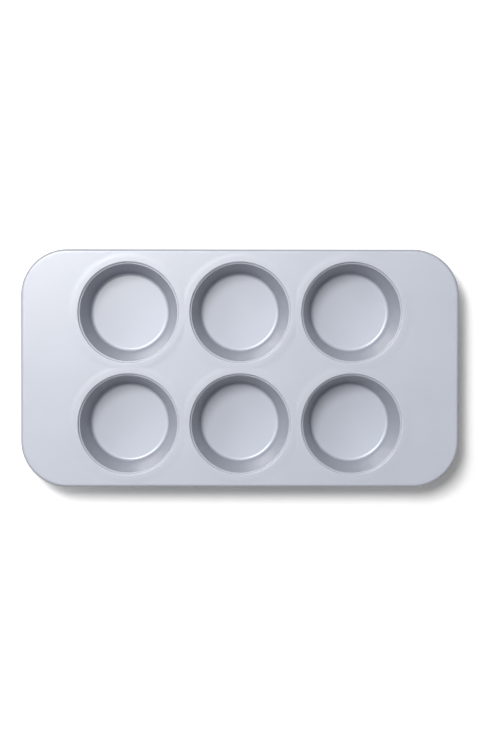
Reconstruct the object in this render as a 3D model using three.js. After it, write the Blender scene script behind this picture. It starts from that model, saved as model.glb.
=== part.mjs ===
// Muffin pan with six cups, in millimetres, +Z up.
//
// A deck plate of coated sheet steel carries six cups that are drawn one by one. The edge of
// each hole in the deck is folded back under itself, and the flange of the cup is folded over
// that edge, so that deck and cup hook into each other as a flat lock seam. The outer edge of
// the deck is curled down round a steel wire, which stiffens the rim.
//
// X runs along the pan, Y from front to back. The origin is in the middle of the pan, on the
// surface that the cups stand on.
import * as THREE from "three";
import { mergeGeometries } from "three/addons/utils/BufferGeometryUtils.js";

// Sheet and wire
const DECK_SHEET = 0.5;
const CUP_SHEET = 0.5;
const WIRE_DIAMETER = 2.8;

// Cups: depth from the top of the deck to the floor, radius where the wall would meet the ledge,
// draft of the wall, and the radii inside the bends at the floor and below the ledge
const CUP_DEPTH = 35.5;
const MOUTH_RADIUS = 36.5;
const WALL_TAPER_DEG = 11.1;
const FLOOR_BEND = 2.6;
const SHOULDER_BEND = 0.2;

// Lock seam: the ledge of the cup that shows inside the deck's fold, the length by which the
// two hooks overlap, and the clearance between the layers of sheet
const LEDGE_WIDTH = 1.2;
const SEAM_LAP = 1.2;
const SEAM_CLEARANCE = 0.2;

// Rim: radius of the corners, clearance of the wire in its curl, the slit between the end of the
// curl and the deck, and the gap where the two ends of the wire meet
const CORNER_RADIUS = 35;
const WIRE_CLEARANCE = 0.2;
const CURL_SLIT = 0.35;
const WIRE_BUTT_GAP = 0.6;

// Layout: clear space under the deck between seams, and between a seam and the curled rim
const COLUMN_NAMES = ["left", "middle", "right"];
const ROW_NAMES = ["front", "back"];
const SEAM_SPACING = 2.6;
const SIDE_MARGIN = 2.5;
const END_MARGIN = 35.8;

// Facets: sides of a full circle, and steps of the small arcs
const CIRCLE_SIDES = 32;
const WIRE_SIDES = 8;
const CORNER_STEPS = 8;
const CURL_STEPS = 10;
const FLOOR_STEPS = 3;
const BEND_STEPS = 2;

// Finish
const COATING = { color: 0xc1c5d0, roughness: 0.4, metalness: 0 };
const STEEL = { color: 0xb4b4b0, roughness: 0.35, metalness: 1 };

// Heights in the seam, measured up from the top of the deck. The four layers of sheet are,
// from the top: deck, hook of the cup, hook of the deck, flange of the cup.
const deckUnderside = -DECK_SHEET;
const cupHookTop = deckUnderside - SEAM_CLEARANCE;
const cupHookUnderside = cupHookTop - CUP_SHEET;
const deckHookTop = cupHookUnderside - SEAM_CLEARANCE;
const deckHookUnderside = deckHookTop - DECK_SHEET;
const flangeTop = deckHookUnderside - SEAM_CLEARANCE;
const flangeUnderside = flangeTop - CUP_SHEET;
const floorTop = -CUP_DEPTH;
const panHeight = CUP_DEPTH + CUP_SHEET;

// Radii in the seam, measured from the axis of the cup
const foldRadius = -deckHookUnderside / 2;
const hookFoldRadius = (cupHookTop - flangeUnderside) / 2;
const noseRadius = MOUTH_RADIUS + LEDGE_WIDTH;
const flatStartRadius = noseRadius + foldRadius;
const hookEndRadius = flatStartRadius + SEAM_LAP;
const seamRadius = hookEndRadius + hookFoldRadius;

// Rim and layout that follow from the sizes above
const curlRadius = WIRE_DIAMETER / 2 + WIRE_CLEARANCE + DECK_SHEET;
const cupPitch = 2 * seamRadius + SEAM_SPACING;
const panLength = spread(COLUMN_NAMES) + 2 * (seamRadius + END_MARGIN + 2 * curlRadius);
const panWidth = spread(ROW_NAMES) + 2 * (seamRadius + SIDE_MARGIN + 2 * curlRadius);

// Distance from the first to the last cup of a row or column.
function spread(names) {
  return (names.length - 1) * cupPitch;
}

// Place of one cup in its row or column, with the whole set centred on zero.
function place(names, index) {
  return index * cupPitch - spread(names) / 2;
}

// Both faces of a bent sheet. Its middle line goes through the corners, each [across, up] with
// the radius of the bend there and the steps of its arc, and the faces lie half a sheet away.
function bentSheet(corners, thickness) {
  const points = corners.map(([across, up]) => new THREE.Vector2(across, up));
  const heading = (i) => points[i + 1].clone().sub(points[i]).normalize();
  const leftOf = (direction) => new THREE.Vector2(-direction.y, direction.x);
  const middle = [{ at: points[0], normal: leftOf(heading(0)) }];
  for (let i = 1; i < points.length - 1; i++) {
    const [, , radius, steps] = corners[i];
    const incoming = heading(i - 1);
    const normal = leftOf(incoming);
    const turn = Math.atan2(incoming.cross(heading(i)), incoming.dot(heading(i)));
    const side = Math.sign(turn);
    const start = points[i].clone().addScaledVector(incoming, -radius * Math.tan(Math.abs(turn) / 2));
    const centre = start.addScaledVector(normal, side * radius);
    for (let step = 0; step <= steps; step++) {
      const turned = normal.clone().rotateAround(new THREE.Vector2(), (turn * step) / steps);
      middle.push({ at: centre.clone().addScaledVector(turned, -side * radius), normal: turned });
    }
  }
  middle.push({ at: points.at(-1), normal: leftOf(heading(points.length - 2)) });
  const face = (offset) => middle.map(({ at, normal }) => at.clone().addScaledVector(normal, offset));
  return { left: face(thickness / 2), right: face(-thickness / 2) };
}

// Points on an arc, from one angle to another.
function arc(across, up, radius, from, to, steps) {
  return Array.from({ length: steps + 1 }, (_, step) => {
    const angle = from + ((to - from) * step) / steps;
    return new THREE.Vector2(across + radius * Math.cos(angle), up + radius * Math.sin(angle));
  });
}

// Stations all round a circle, counterclockwise. A station holds a centre and a direction, and
// places a profile point at its distance from the centre, in that direction.
function circleStations(x, y) {
  return Array.from({ length: CIRCLE_SIDES }, (_, side) => ({
    x,
    y,
    angle: (2 * Math.PI * side) / CIRCLE_SIDES,
  }));
}

// Stations of the rounded rectangle of the rim, counterclockwise from the middle of its back.
function rimStations() {
  const x = panLength / 2 - CORNER_RADIUS;
  const y = panWidth / 2 - CORNER_RADIUS;
  const corners = [
    { x: -x, y, from: Math.PI / 2 },
    { x: -x, y: -y, from: Math.PI },
    { x, y: -y, from: (3 * Math.PI) / 2 },
    { x, y, from: 2 * Math.PI },
  ];
  return corners.flatMap((corner) =>
    Array.from({ length: CORNER_STEPS + 1 }, (_, step) => ({
      x: corner.x,
      y: corner.y,
      angle: corner.from + (Math.PI / 2) * (step / CORNER_STEPS),
    })),
  );
}

// Where a station puts a point of the profile.
function atStation(station, { x: across, y: up }) {
  const reach = [Math.cos(station.angle), Math.sin(station.angle)];
  return [station.x + across * reach[0], station.y + across * reach[1], up];
}

// The skin that a profile leaves on its way through the stations. Either may close on itself.
function sweptSkin(stations, profile, closedPath, closedProfile) {
  const positions = stations.flatMap((station) => profile.flatMap((point) => atStation(station, point)));
  const index = [];
  const strips = stations.length - (closedPath ? 0 : 1);
  const edges = profile.length - (closedProfile ? 0 : 1);
  for (let strip = 0; strip < strips; strip++) {
    for (let edge = 0; edge < edges; edge++) {
      const here = strip * profile.length;
      const next = ((strip + 1) % stations.length) * profile.length;
      const after = (edge + 1) % profile.length;
      index.push(here + edge, here + after, next + after);
      index.push(here + edge, next + after, next + edge);
    }
  }
  return skin(positions, index);
}

// The flat end of a swept solid, facing back along the path or, if asked, forwards.
function sweptEnd(station, profile, forwards) {
  const triangles = THREE.ShapeUtils.triangulateShape(profile, []);
  const index = triangles.flatMap(([a, b, c]) => (forwards ? [a, c, b] : [a, b, c]));
  return skin(profile.flatMap((point) => atStation(station, point)), index);
}

// A geometry of positions and triangles, with the normals of its own faces.
function skin(positions, index) {
  const geometry = new THREE.BufferGeometry();
  geometry.setAttribute("position", new THREE.Float32BufferAttribute(positions, 3));
  geometry.setIndex(index);
  geometry.computeVertexNormals();
  return geometry;
}

// One flat face of the deck, bounded by the rim and pierced by the holes.
function deckFace(height, faceUp) {
  const outline = (stations, across) =>
    stations.map((station) => new THREE.Vector2(...atStation(station, { x: across, y: height })));
  const shape = new THREE.Shape(outline(rimStations(), CORNER_RADIUS - curlRadius));
  shape.holes = cupCentres().map(
    ({ x, y }) => new THREE.Path(outline(circleStations(x, y), flatStartRadius)),
  );
  const flat = new THREE.ShapeGeometry(shape).translate(0, 0, height);
  const index = Array.from(flat.index.array);
  return skin(Array.from(flat.attributes.position.array), faceUp ? index : index.reverse());
}

// Names and places of the cups.
function cupCentres() {
  return ROW_NAMES.flatMap((row, i) =>
    COLUMN_NAMES.map((column, j) => ({
      name: `cup_${row}_${column}`,
      x: place(COLUMN_NAMES, j),
      y: place(ROW_NAMES, i),
    })),
  );
}

// Profile of the curled rim, from the flat's upper edge round the wire to its lower edge.
function curlProfile() {
  const across = CORNER_RADIUS - curlRadius;
  const end = Math.PI - Math.asin((curlRadius - DECK_SHEET - CURL_SLIT) / curlRadius);
  const top = Math.PI / 2;
  const last = end - 2 * Math.PI;
  return [
    ...arc(across, -curlRadius, curlRadius, top, last, CURL_STEPS),
    ...arc(across, -curlRadius, curlRadius - DECK_SHEET, last, top, CURL_STEPS),
  ];
}

// Profile of the folded edge of a hole, from the flat's lower edge round the hook to its upper
// edge. The fold is a half circle, bent as two quarters.
function foldProfile() {
  const bend = foldRadius - DECK_SHEET / 2;
  const inner = noseRadius + DECK_SHEET / 2;
  const { left, right } = bentSheet(
    [
      [flatStartRadius + bend, -DECK_SHEET / 2],
      [inner, -DECK_SHEET / 2, bend, BEND_STEPS],
      [inner, deckHookTop - DECK_SHEET / 2, bend, BEND_STEPS],
      [hookEndRadius, deckHookTop - DECK_SHEET / 2],
    ],
    DECK_SHEET,
  );
  return [...left.slice(1), ...right.slice(1).reverse()];
}

// The deck plate: two flat faces, joined by the folds of the holes and the curl of the rim.
function deckGeometry() {
  const folds = cupCentres().map(({ x, y }) => sweptSkin(circleStations(x, y), foldProfile(), true, false));
  const curl = sweptSkin(rimStations(), curlProfile(), true, false);
  return mergeGeometries([deckFace(0, true), deckFace(deckUnderside, false), ...folds, curl]);
}

// A drawn cup: floor, tapered wall, ledge, and the hook that is folded over the deck's hook.
function cupGeometry() {
  const half = CUP_SHEET / 2;
  const wallHeight = flangeTop - floorTop;
  const taper = THREE.MathUtils.degToRad(WALL_TAPER_DEG);
  const floorRadius = MOUTH_RADIUS - wallHeight * Math.tan(taper);
  // where the middle line of the wall meets those of the floor and the flange
  const shift = half * Math.tan((Math.PI / 2 - taper) / 2);
  const bend = hookFoldRadius - half;
  const { left, right } = bentSheet(
    [
      [0, floorTop - half],
      [floorRadius + shift, floorTop - half, FLOOR_BEND + half, FLOOR_STEPS],
      [MOUTH_RADIUS + shift, flangeTop - half, SHOULDER_BEND + half, BEND_STEPS],
      [seamRadius - half, flangeTop - half, bend, BEND_STEPS],
      [seamRadius - half, cupHookTop - half, bend, BEND_STEPS],
      [flatStartRadius, cupHookTop - half],
    ],
    CUP_SHEET,
  );
  return new THREE.LatheGeometry([...right, ...left.reverse()], CIRCLE_SIDES).rotateX(Math.PI / 2);
}

// The rim wire, one length bent round the pan, with its ends nearly meeting in the middle of
// the back.
function wireGeometry() {
  const back = { y: panWidth / 2 - CORNER_RADIUS, angle: Math.PI / 2 };
  const first = { ...back, x: -WIRE_BUTT_GAP / 2 };
  const last = { ...back, x: WIRE_BUTT_GAP / 2 };
  const full = arc(CORNER_RADIUS - curlRadius, -curlRadius, WIRE_DIAMETER / 2, 0, -2 * Math.PI, WIRE_SIDES);
  const profile = full.slice(0, -1);
  return mergeGeometries([
    sweptSkin([first, ...rimStations(), last], profile, false, true),
    sweptEnd(first, profile, false),
    sweptEnd(last, profile, true),
  ]);
}

// A named piece with its finish, placed in the plane of the deck.
function piece(name, geometry, finish, x = 0, y = 0) {
  const mesh = new THREE.Mesh(geometry, new THREE.MeshStandardMaterial(finish));
  mesh.name = name;
  mesh.position.set(x, y, 0);
  return mesh;
}

const atDeckHeight = new THREE.Group();
atDeckHeight.position.z = panHeight;
atDeckHeight.add(piece("deck_plate", deckGeometry(), COATING));
atDeckHeight.add(piece("rim_wire", wireGeometry(), STEEL));
const cup = cupGeometry();
for (const { name, x, y } of cupCentres()) {
  atDeckHeight.add(piece(name, cup, COATING, x, y));
}

const pan = new THREE.Group();
pan.add(atDeckHeight);

export default pan;
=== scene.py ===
"""Muffin pan of coated sheet steel, seen from almost straight above on a white table."""

import bmesh
import bpy
import numpy as np
from mathutils import Matrix, Vector


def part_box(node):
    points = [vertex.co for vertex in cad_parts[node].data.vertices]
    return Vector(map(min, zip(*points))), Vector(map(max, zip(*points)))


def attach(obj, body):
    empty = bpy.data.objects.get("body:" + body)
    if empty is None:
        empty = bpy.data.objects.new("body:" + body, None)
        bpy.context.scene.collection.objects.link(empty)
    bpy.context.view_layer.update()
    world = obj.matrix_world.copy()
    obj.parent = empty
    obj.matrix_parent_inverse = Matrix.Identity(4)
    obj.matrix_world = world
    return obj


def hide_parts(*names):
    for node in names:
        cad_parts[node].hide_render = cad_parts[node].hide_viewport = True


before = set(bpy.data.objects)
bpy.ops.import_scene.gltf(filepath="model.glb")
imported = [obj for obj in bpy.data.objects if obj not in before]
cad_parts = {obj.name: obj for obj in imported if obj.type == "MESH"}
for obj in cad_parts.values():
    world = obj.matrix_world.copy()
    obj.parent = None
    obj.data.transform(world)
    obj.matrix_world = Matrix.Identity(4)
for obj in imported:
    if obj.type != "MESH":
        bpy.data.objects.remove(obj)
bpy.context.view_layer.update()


# Deck plate: one blank of sheet steel, pierced with six holes. The edge of each hole is folded
# back under the sheet as the upper half of a flat lock seam, which lifts the sheet a little round
# it, and the outer edge is curled down round a wire. A satin ceramic film is sprayed on and baked.

MM = 0.001
SHEET = 0.5 * MM
SEAM_GAP = 0.2 * MM
SEAM_LAP = 1.2 * MM
CORNER_RADIUS = 35 * MM
CURL_SLIT = 0.35 * MM
SEAM_LIFT = 0.075 * MM
LIFT_EASE = 3.8 * MM
AROUND = 160
FOLD_STEPS = 8
CURL_STEPS = 36
CORNER_STEPS = 32
TOP_STRIPS = 16
UNDER_STRIPS = 4
WELD_REACH = SEAM_GAP / 100
SHARP_EDGE = np.radians(40)

deck_low, deck_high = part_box("deck_plate")
deck_top = deck_high.z
curl_radius = (deck_high.z - deck_low.z) / 2
cup_boxes = {name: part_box(name) for name in sorted(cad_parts) if name.startswith("cup_")}
cup_centres = {name: (low + high) / 2 for name, (low, high) in cup_boxes.items()}
cup_axes = {name: complex(centre.x, centre.y) for name, centre in cup_centres.items()}
columns = np.unique(np.round([axis.real for axis in cup_axes.values()], 6))
rows = np.unique(np.round([axis.imag for axis in cup_axes.values()], 6))
pitch = columns[1] - columns[0]
one_cup_low, one_cup_high = cup_boxes["cup_back_left"]

# Radii of the seam from the axis of a cup, worked inwards from its outermost fold.
layer = SHEET + SEAM_GAP
fold_radius = layer + SHEET / 2
seam_radius = (one_cup_high.x - one_cup_low.x) / 2
hook_end = seam_radius - fold_radius
flat_start = hook_end - SEAM_LAP
nose_radius = flat_start - fold_radius
lift_radius = seam_radius + layer


def bent_sheet(corners, steps):
    """Outline of a bent sheet in section, as complex numbers, distance across plus height times i.
    The middle line runs straight between the corners, each given with the radius of its bend, and
    rounds them on an arc that touches both runs. The faces lie half a sheet to either side."""
    places = np.array([place for place, bend in corners])
    runs = np.diff(places)
    runs = runs / np.abs(runs)
    middle = [places[:1]]
    normal = [1j * runs[:1]]
    for (corner, bend), before, after in zip(corners[1:-1], runs[:-1], runs[1:]):
        turn = np.angle(after / before)
        side = np.sign(turn) * bend
        turned = 1j * before * np.exp(1j * turn * np.linspace(0, 1, steps + 1))
        centre = corner - before * bend * np.tan(abs(turn) / 2) + 1j * before * side
        middle.append(centre - side * turned)
        normal.append(turned)
    middle = np.concatenate(middle + [places[-1:]])
    normal = np.concatenate(normal + [1j * runs[-1:]])
    return np.concatenate([middle + normal * SHEET / 2, (middle - normal * SHEET / 2)[::-1]])


def swept(centres, directions, profile):
    """Grid of points that a profile leaves along a path. At each station a profile point stands
    at its distance from the station's centre, in the station's direction, at its own height."""
    flat = centres[:, None] + directions[:, None] * profile.real
    return np.stack([flat.real, flat.imag, np.broadcast_to(profile.imag, flat.shape)], axis=-1)


def deck_sheet(inner, outer, depth, strips):
    """Grid of points on one face of the deck, at a depth below the top: straight lines from an inner
    loop to an outer one. Outside the seams the sheet eases down on half a cosine wave of its distance
    from the nearest cup's axis."""
    share = np.linspace(0, 1, strips + 1)
    flat = inner[:, None] * (1 - share) + outer[:, None] * share
    away = np.min([abs(flat - axis) for axis in cup_axes.values()], axis=0)
    wave = np.pi * np.clip((away - lift_radius) / LIFT_EASE, 0, 1)
    height = deck_top - depth - SEAM_LIFT * (1 - np.cos(wave)) / 2
    return np.stack([flat.real, flat.imag, height], axis=-1)


def pressed_piece(name, grids):
    """One closed mesh from grids of points that are loops in their first direction, each given with
    the value of its finish at the points. Neighbouring points make quads, and the grids are welded
    where their edges lie on each other."""
    points = np.concatenate([grid.reshape(-1, 3) for grid, finish in grids])
    values = np.concatenate([np.broadcast_to(finish, grid.shape[:2]).ravel() for grid, finish in grids])
    quads = []
    first = 0
    for grid, finish in grids:
        number = first + np.arange(grid.shape[0] * grid.shape[1]).reshape(grid.shape[:2])
        number = np.vstack([number, number[:1]])
        quad = [number[:-1, :-1], number[:-1, 1:], number[1:, 1:], number[1:, :-1]]
        quads.append(np.stack(quad, axis=-1).reshape(-1, 4))
        first += grid.shape[0] * grid.shape[1]
    mesh = bpy.data.meshes.new(name)
    mesh.from_pydata(points, [], np.concatenate(quads))
    mesh.attributes.new("finish", "FLOAT", "POINT").data.foreach_set("value", values.astype(np.float32))
    welded = bmesh.new()
    welded.from_mesh(mesh)
    bmesh.ops.remove_doubles(welded, verts=welded.verts, dist=WELD_REACH)
    bmesh.ops.recalc_face_normals(welded, faces=welded.faces)
    welded.to_mesh(mesh)
    welded.free()
    mesh.shade_smooth()
    mesh.set_sharp_from_angle(angle=SHARP_EDGE)
    piece = bpy.data.objects.new(name, mesh)
    bpy.context.scene.collection.objects.link(piece)
    piece.modifiers.new("Flat runs stay flat", "WEIGHTED_NORMAL").keep_sharp = True
    return piece


# Spokes of a cup, and where they meet the square of deck that belongs to it.
spokes = np.exp(1j * np.linspace(-np.pi / 4, 7 * np.pi / 4, AROUND, endpoint=False))
square = spokes / np.maximum(abs(spokes.real), abs(spokes.imag)) * pitch / 2
side_marks = np.tan(np.linspace(-np.pi / 4, np.pi / 4, AROUND // 4, endpoint=False)) * pitch / 2

# The outline of all the squares, counterclockwise from the front right corner, and the stations
# of the rim that face its points: round the right end, along the back, round the left, along the front.
end_x = columns[-1] + pitch / 2
side_y = rows[-1] + pitch / 2
end_marks = (rows[:, None] + side_marks).ravel()
long_marks = (columns[:, None] + side_marks).ravel()
right_half = np.concatenate([end_x + 1j * end_marks, -long_marks + 1j * side_y])
inner_outline = np.concatenate([right_half, -right_half])

corner_x = deck_high.x - CORNER_RADIUS
corner_y = deck_high.y - CORNER_RADIUS
lead_in = (len(end_marks) - 2 * CORNER_STEPS) // 4
knots = np.cumsum([0, lead_in, CORNER_STEPS, 2 * lead_in, CORNER_STEPS, lead_in])
along_end = np.arange(len(end_marks))
end_centres = np.interp(along_end, knots, [end_x, corner_x, corner_x, corner_x, corner_x, end_x])
end_centres = end_centres + 1j * np.interp(
    along_end, knots, [-corner_y, -corner_y, -corner_y, corner_y, corner_y, corner_y]
)
quarter = np.pi / 2
end_angles = np.interp(along_end, knots, [-quarter, -quarter, 0, 0, quarter, quarter])
half_centres = np.concatenate([end_centres, -long_marks + 1j * corner_y])
half_directions = np.concatenate([np.exp(1j * end_angles), np.full(len(long_marks), 1j)])
rim_centres = np.concatenate([half_centres, -half_centres])
rim_directions = np.concatenate([half_directions, -half_directions])

# Section of the folded edge of a hole, and of the curl round the wire.
fold_bend = layer
fold_middle = nose_radius + SHEET / 2
fold_section = bent_sheet(
    [
        (flat_start + 1j * (deck_top - SHEET / 2), 0),
        (fold_middle + 1j * (deck_top - SHEET / 2), fold_bend),
        (fold_middle + 1j * (deck_top - SHEET / 2 - 2 * layer), fold_bend),
        (hook_end + 1j * (deck_top - SHEET / 2 - 2 * layer), 0),
    ],
    FOLD_STEPS,
)
curl_centre = CORNER_RADIUS - curl_radius + 1j * (deck_top - SEAM_LIFT - curl_radius)
curl_end = -np.pi - np.arcsin((curl_radius - SHEET - CURL_SLIT) / curl_radius)
curl_arc = np.exp(1j * np.linspace(np.pi / 2, curl_end, CURL_STEPS + 1))
curl_section = curl_centre + np.concatenate(
    [curl_radius * curl_arc, (curl_radius - SHEET) * curl_arc[::-1]]
)

# Painted shade on the curl: its colour is mixed towards the dark shade colour, most where it faces
# sideways, to give a dark outline round the pan. A share of one leaves the film colour unshaded.
UNSHADED_SHARE = 1.0
CURL_PAINTED_SHADE = 0.75
curl_facing = np.concatenate([curl_arc.real, curl_arc.real[::-1]])
curl_painted_shade = UNSHADED_SHARE - CURL_PAINTED_SHADE * np.maximum(curl_facing, 0) ** 2
deck_grids = [(swept(rim_centres, rim_directions, curl_section), curl_painted_shade)]
rim_outline = rim_centres + rim_directions * (CORNER_RADIUS - curl_radius)
for depth, strips in ((0, TOP_STRIPS), (SHEET, UNDER_STRIPS)):
    deck_grids.append((deck_sheet(inner_outline, rim_outline, depth, strips), UNSHADED_SHARE))
    for axis in cup_axes.values():
        land = deck_sheet(axis + spokes * flat_start, axis + square, depth, strips)
        deck_grids.append((land, UNSHADED_SHARE))
for axis in cup_axes.values():
    deck_grids.append((swept(np.full(AROUND, axis), spokes, fold_section), UNSHADED_SHARE))
deck = pressed_piece("deck", deck_grids)

FILM_COLOUR = (0.43, 0.453, 0.52, 1)
# Dark colour that the film colour is mixed towards where shade is painted.
PAINTED_SHADE_COLOUR = (0.1, 0.105, 0.12, 1)
DECK_SATIN = 0.34
FILM_IOR = 1.7
CLOUD_SIZE = 35 * MM
PEEL_SIZE = 1.6 * MM
SPECK_SIZE = 0.3 * MM
PEEL_DEPTH = 0.006 * MM
CLOUD_TINT = 0.015
SPECK_TINT = 0.03
SATIN_SPREAD = 0.03

# The usual reach of a noise's values, and the places of a Mix node's colour sockets.
NOISE_LOW = 0.3
NOISE_HIGH = 0.7
MIX_SHARE = 0
MIX_FIRST = 6
MIX_SECOND = 7
MIX_RESULT = 2


def speckle(tree, size, low, high):
    """Value that wanders between about low and high over the surface: a smooth noise on the piece's
    own coordinates, with features of the given size, stretched to that range."""
    place = tree.nodes.new("ShaderNodeTexCoord")
    noise = tree.nodes.new("ShaderNodeTexNoise")
    noise.inputs["Scale"].default_value = 1 / size
    noise.inputs["Detail"].default_value = 1
    tree.links.new(place.outputs["Object"], noise.inputs["Vector"])
    reach = tree.nodes.new("ShaderNodeMapRange")
    reach.clamp = False
    reach.inputs["From Min"].default_value = NOISE_LOW
    reach.inputs["From Max"].default_value = NOISE_HIGH
    reach.inputs["To Min"].default_value = low
    reach.inputs["To Max"].default_value = high
    tree.links.new(noise.outputs["Fac"], reach.inputs["Value"])
    return reach.outputs["Result"]


def combined(tree, operation, first, second):
    """Sum, product or other arithmetic of two values, either of them a socket or a number."""
    arithmetic = tree.nodes.new("ShaderNodeMath")
    arithmetic.operation = operation
    for socket, value in zip(arithmetic.inputs, (first, second)):
        if isinstance(value, bpy.types.NodeSocket):
            tree.links.new(value, socket)
        else:
            socket.default_value = value
    return arithmetic.outputs[0]


def sprayed_film_group():
    """Look of a sprayed ceramic film. Its colour goes from the dark painted shade colour to the film's
    as the Film share goes from zero to one, so a low share paints shade. The colour is also multiplied
    by a soft cloud from the spray passes and by fine mica specks. Its roughness wanders with the cloud,
    and its height is the low peel that the drops leave."""
    group = bpy.data.node_groups.new("Sprayed film", "ShaderNodeTree")
    sockets = (
        ("Film colour", "INPUT", "NodeSocketColor"),
        ("Painted shade colour", "INPUT", "NodeSocketColor"),
        ("Film", "INPUT", "NodeSocketFloat"),
        ("Satin", "INPUT", "NodeSocketFloat"),
        ("Colour", "OUTPUT", "NodeSocketColor"),
        ("Roughness", "OUTPUT", "NodeSocketFloat"),
        ("Height", "OUTPUT", "NodeSocketFloat"),
    )
    for name, side, kind in sockets:
        group.interface.new_socket(name, in_out=side, socket_type=kind)
    given = group.nodes.new("NodeGroupInput")
    made = group.nodes.new("NodeGroupOutput")
    # Painted shade: the colour is mixed from the dark shade colour to the film colour by the Film share.
    painted_shade_mix = group.nodes.new("ShaderNodeMix")
    painted_shade_mix.data_type = "RGBA"
    group.links.new(given.outputs["Film"], painted_shade_mix.inputs[MIX_SHARE])
    group.links.new(given.outputs["Painted shade colour"], painted_shade_mix.inputs[MIX_FIRST])
    group.links.new(given.outputs["Film colour"], painted_shade_mix.inputs[MIX_SECOND])
    cloud = speckle(group, CLOUD_SIZE, 1 - CLOUD_TINT, 1 + CLOUD_TINT)
    specks = speckle(group, SPECK_SIZE, 1 - SPECK_TINT, 1 + SPECK_TINT)
    tinted = group.nodes.new("ShaderNodeHueSaturation")
    group.links.new(painted_shade_mix.outputs[MIX_RESULT], tinted.inputs["Color"])
    group.links.new(combined(group, "MULTIPLY", cloud, specks), tinted.inputs["Value"])
    group.links.new(tinted.outputs["Color"], made.inputs["Colour"])
    uneven = speckle(group, CLOUD_SIZE, 1 - SATIN_SPREAD, 1 + SATIN_SPREAD)
    satin = combined(group, "MULTIPLY", given.outputs["Satin"], uneven)
    group.links.new(satin, made.inputs["Roughness"])
    group.links.new(speckle(group, PEEL_SIZE, 0, 1), made.inputs["Height"])
    return group


def film_material(name, group, satin):
    """Film on one kind of piece: the shared film look, with painted shade wherever the piece's finish
    attribute gives less than the full share."""
    material = bpy.data.materials.new(name)
    material.use_nodes = True
    tree = material.node_tree
    shader = tree.nodes["Principled BSDF"]
    shader.inputs["IOR"].default_value = FILM_IOR
    look = tree.nodes.new("ShaderNodeGroup")
    look.node_tree = group
    look.inputs["Film colour"].default_value = FILM_COLOUR
    look.inputs["Painted shade colour"].default_value = PAINTED_SHADE_COLOUR
    look.inputs["Satin"].default_value = satin
    film = tree.nodes.new("ShaderNodeAttribute")
    film.attribute_name = "finish"
    tree.links.new(film.outputs["Fac"], look.inputs["Film"])
    bump = tree.nodes.new("ShaderNodeBump")
    bump.inputs["Distance"].default_value = PEEL_DEPTH
    tree.links.new(look.outputs["Colour"], shader.inputs["Base Color"])
    tree.links.new(look.outputs["Roughness"], shader.inputs["Roughness"])
    tree.links.new(look.outputs["Height"], bump.inputs["Height"])
    tree.links.new(bump.outputs["Normal"], shader.inputs["Normal"])
    return material


film_look = sprayed_film_group()
deck_film = film_material("deck_film", film_look, DECK_SATIN)
deck.data.materials.append(deck_film)
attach(deck, "root")
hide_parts("deck_plate")


# Cups: six bowls, each deep drawn from a disc of the same sheet with a tapered wall and a rounded
# floor corner. The flange is folded over the hook under the deck, which closes the lock seam.

LEDGE_WIDTH = 1.2 * MM
WALL_TAPER = np.radians(11.1)
FLOOR_BEND = 2.6 * MM
SHOULDER_BEND = 0.2 * MM
CUP_BEND_STEPS = 12

floor_middle = one_cup_low.z + SHEET / 2
flange_middle = deck_top - SHEET / 2 - 3 * layer
mouth_radius = nose_radius - LEDGE_WIDTH
wall_shift = SHEET / 2 * np.tan((np.pi / 2 - WALL_TAPER) / 2)
floor_corner = mouth_radius + wall_shift - (flange_middle - floor_middle) * np.tan(WALL_TAPER)
cup_fold = seam_radius - SHEET / 2
cup_section = bent_sheet(
    [
        (1j * floor_middle, 0),
        (floor_corner + 1j * floor_middle, FLOOR_BEND + SHEET / 2),
        (mouth_radius + wall_shift + 1j * flange_middle, SHOULDER_BEND + SHEET / 2),
        (cup_fold + 1j * flange_middle, fold_bend),
        (cup_fold + 1j * (flange_middle + 2 * layer), fold_bend),
        (flat_start + 1j * (flange_middle + 2 * layer), 0),
    ],
    CUP_BEND_STEPS,
)

# Painted shade in the cups: the colour is mixed a little towards the dark shade colour on the floor, and
# more on the wall, most of all at its foot, down where the shade falls. The shoulder, the sharp bend at
# the top of the wall, is darkest of all, a painted shade line in that crease.
CUP_SATIN = 0.29
FLOOR_SHADED_SHARE = 0.95
WALL_FOOT_SHADED_SHARE = 0.58
WALL_TOP_SHADED_SHARE = 0.79
SHOULDER_SHADED_SHARE = 0.2
floor_top = floor_middle + SHEET / 2
ledge_top = flange_middle + SHEET / 2
wall_foot = floor_top + FLOOR_BEND * (1 - np.sin(WALL_TAPER))
wall_top = ledge_top - SHOULDER_BEND * (1 - np.sin(WALL_TAPER))
cup_shaded_share = np.interp(
    cup_section.imag,
    [floor_top, wall_foot, wall_top, (wall_top + ledge_top) / 2, ledge_top],
    [FLOOR_SHADED_SHARE, WALL_FOOT_SHADED_SHARE, WALL_TOP_SHADED_SHARE, SHOULDER_SHADED_SHARE, UNSHADED_SHARE],
)
cup_film = film_material("cup_film", film_look, CUP_SATIN)
for name, axis in cup_axes.items():
    bowl = swept(np.full(AROUND, axis), spokes, cup_section)
    cup = pressed_piece(name.replace("cup_", "bowl_"), [(bowl, cup_shaded_share)])
    cup.data.materials.append(cup_film)
    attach(cup, "root")
    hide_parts(name)


# Rim wire: one length of drawn steel wire, bent to the outline of the pan before the curl is
# rolled over it. Its ends butt in the middle of the back.

WIRE_DIAMETER = 2.8 * MM
WIRE_SIDES = 24
BUTT_GAP = 0.6 * MM

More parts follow.
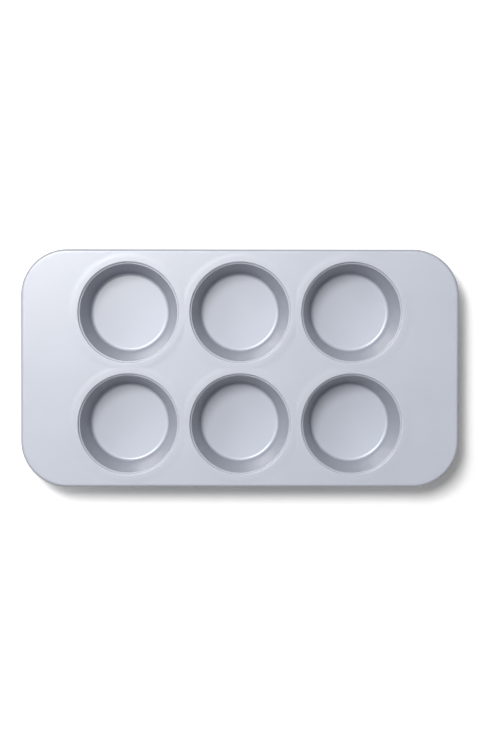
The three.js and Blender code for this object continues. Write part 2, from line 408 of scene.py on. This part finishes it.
# Stations from one end of the wire to the other, leftwards from the middle of the back.
middle_of_back = len(end_marks) + len(long_marks) // 2
butt = np.array([-BUTT_GAP, BUTT_GAP]) / 2 + 1j * corner_y
wire_centres = np.roll(rim_centres, -middle_of_back)[1:]
wire_centres = np.concatenate([butt[:1], wire_centres, butt[1:]])
wire_directions = np.roll(rim_directions, -middle_of_back)[1:]
wire_directions = np.concatenate([[1j], wire_directions, [1j]])
wire_turns = np.exp(1j * np.linspace(0, 2 * np.pi, WIRE_SIDES, endpoint=False))
wire_skin = swept(wire_centres, wire_directions, curl_centre + wire_turns * WIRE_DIAMETER / 2)
wire_middle = swept(wire_centres, wire_directions, np.full(WIRE_SIDES, curl_centre))
wire_ends = [np.stack([wire_skin[end], wire_middle[end]], axis=1) for end in (0, -1)]
# The finish of the wire is the turn round it, from zero to one and back, which the draw lines follow.
wire_turn = abs(np.linspace(-1, 1, WIRE_SIDES, endpoint=False))[:, None]
wire_grids = [wire_skin.transpose(1, 0, 2)] + wire_ends
wire = pressed_piece("wire", [(grid, wire_turn) for grid in wire_grids])

DRAW_LINES = 40
LINE_ROUGHNESS = 0.7
STEEL_BRIGHT = (0.68, 0.68, 0.66, 1)
STEEL_SCORED = (0.46, 0.46, 0.45, 1)
drawn_steel = bpy.data.materials.new("drawn_steel")
drawn_steel.use_nodes = True
steel_tree = drawn_steel.node_tree
steel_shader = steel_tree.nodes["Principled BSDF"]
steel_shader.inputs["Metallic"].default_value = 1
round_wire = steel_tree.nodes.new("ShaderNodeAttribute")
round_wire.attribute_name = "finish"
lines = steel_tree.nodes.new("ShaderNodeTexNoise")
lines.noise_dimensions = "1D"
lines.inputs["Scale"].default_value = DRAW_LINES
steel_tree.links.new(round_wire.outputs["Fac"], lines.inputs["W"])
shade = steel_tree.nodes.new("ShaderNodeMix")
shade.data_type = "RGBA"
shade.inputs[MIX_FIRST].default_value = STEEL_SCORED
shade.inputs[MIX_SECOND].default_value = STEEL_BRIGHT
steel_tree.links.new(lines.outputs["Fac"], shade.inputs[MIX_SHARE])
steel_tree.links.new(shade.outputs[MIX_RESULT], steel_shader.inputs["Base Color"])
scoring = combined(steel_tree, "MULTIPLY", lines.outputs["Fac"], LINE_ROUGHNESS)
steel_tree.links.new(scoring, steel_shader.inputs["Roughness"])
wire.data.materials.append(drawn_steel)
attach(wire, "root")
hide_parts("rim_wire")


# Table: a white matt sheet that fills the view and keeps the shadow of the pan. Its top lies a hair
# below the cups, so that no two faces share a plane.

TABLE_HALF = 8
TABLE_DROP = 0.1 * MM
TABLE_COLOUR = (0.93, 0.93, 0.93, 1)
WHITE = (1, 1, 1, 1)
table_mesh = bpy.data.meshes.new("table")
table_corners = np.array([[-1, -1, 0], [1, -1, 0], [1, 1, 0], [-1, 1, 0]]) * TABLE_HALF
table_mesh.from_pydata(table_corners - [0, 0, TABLE_DROP], [], [[0, 1, 2, 3]])
table = bpy.data.objects.new("table", table_mesh)
bpy.context.scene.collection.objects.link(table)
table_white = bpy.data.materials.new("table_white")
table_white.use_nodes = True
table_shader = table_white.node_tree.nodes["Principled BSDF"]
table_shader.inputs["Base Color"].default_value = TABLE_COLOUR
table_shader.inputs["Roughness"].default_value = 1
table_shader.inputs["Specular IOR Level"].default_value = 0
table_shader.inputs["Emission Color"].default_value = WHITE
table.data.materials.append(table_white)


# Light: a tall softbox up on the left behind the pan, about a fifth of a right angle off the vertical,
# and a wide, weaker panel lower down on the same side. The room itself gives hardly any light.

LIGHT_DISTANCE = 2.5
ROOM_FILL = 0.02
TABLE_LIFT = 0.2

# Name, tilt off the vertical, turn from the right towards the back, width, height and watts.
SOFTBOXES = (
    ("softbox", np.radians(20), np.radians(128), 0.5, 0.8, 55),
    ("panel", np.radians(43), np.radians(140), 3, 1.2, 26.5),
)

pan_middle = Vector((0, 0, deck_top))
for name, tilt, turn, width, height, power in SOFTBOXES:
    towards = Vector((np.sin(tilt) * np.cos(turn), np.sin(tilt) * np.sin(turn), np.cos(tilt)))
    softbox = bpy.data.lights.new(name, "AREA")
    softbox.shape = "RECTANGLE"
    softbox.size = width
    softbox.size_y = height
    softbox.energy = power
    stand = bpy.data.objects.new(name, softbox)
    stand.matrix_world = (
        Matrix.Translation(pan_middle + towards * LIGHT_DISTANCE)
        @ towards.to_track_quat("Z", "Y").to_matrix().to_4x4()
    )
    bpy.context.scene.collection.objects.link(stand)

room = bpy.data.worlds.new("room")
room.use_nodes = True
bpy.context.scene.world = room


def seen_directly(tree):
    """One for rays from the camera, a mirror or glass, else zero: the sum of the Light Path flags."""
    path = tree.nodes.new("ShaderNodeLightPath")
    total = path.outputs["Is Camera Ray"]
    for flag in ("Is Glossy Ray", "Is Transmission Ray"):
        add = tree.nodes.new("ShaderNodeMath")
        add.operation = "ADD"
        add.use_clamp = True
        tree.links.new(total, add.inputs[0])
        tree.links.new(path.outputs[flag], add.inputs[1])
        total = add.outputs[0]
    return total


def between(tree, share, low, high):
    """Value that goes from low to high as a share goes from zero to one."""
    blend = tree.nodes.new("ShaderNodeMapRange")
    blend.inputs["To Min"].default_value = low
    blend.inputs["To Max"].default_value = high
    tree.links.new(share, blend.inputs["Value"])
    return blend.outputs["Result"]


background = room.node_tree.nodes["Background"]
background.inputs["Color"].default_value = WHITE
room_seen = seen_directly(room.node_tree)
room.node_tree.links.new(between(room.node_tree, room_seen, ROOM_FILL, 1), background.inputs["Strength"])

# The light falls off over the table, so its lift grows with the square of the distance from the pan.
table_tree = table_white.node_tree
table_place = table_tree.nodes.new("ShaderNodeTexCoord")
squared = table_tree.nodes.new("ShaderNodeVectorMath")
squared.operation = "DOT_PRODUCT"
for socket in squared.inputs[:2]:
    table_tree.links.new(table_place.outputs["Object"], socket)
lift = between(table_tree, squared.outputs["Value"], TABLE_LIFT, 1)
lift_seen = combined(table_tree, "MULTIPLY", lift, seen_directly(table_tree))
table_tree.links.new(lift_seen, table_shader.inputs["Emission Strength"])


# Camera: almost straight above the pan, a little towards the back left, and aimed at its middle. It
# stands far enough away that all six cups look much alike.

CAMERA_HEIGHT = 1.75
VIEW_HEIGHT = 0.5541
SENSOR = 36
CAMERA_ROLL = np.radians(0.066)
CAMERA_X = -0.0225
CAMERA_Y = 0.049
AIM_X = -0.0002
AIM_Y = 0.00026
camera_data = bpy.data.cameras.new("camera")
camera_data.sensor_width = SENSOR
camera_data.lens = SENSOR * CAMERA_HEIGHT / VIEW_HEIGHT
camera = bpy.data.objects.new("camera", camera_data)
camera.location = (CAMERA_X, CAMERA_Y, deck_top + CAMERA_HEIGHT)
camera.rotation_euler = (
    -np.arctan2(CAMERA_Y - AIM_Y, CAMERA_HEIGHT),
    np.arctan2(CAMERA_X - AIM_X, CAMERA_HEIGHT),
    CAMERA_ROLL,
)
bpy.context.scene.collection.objects.link(camera)
bpy.context.scene.camera = camera
bpy.context.scene.view_settings.view_transform = "Standard"
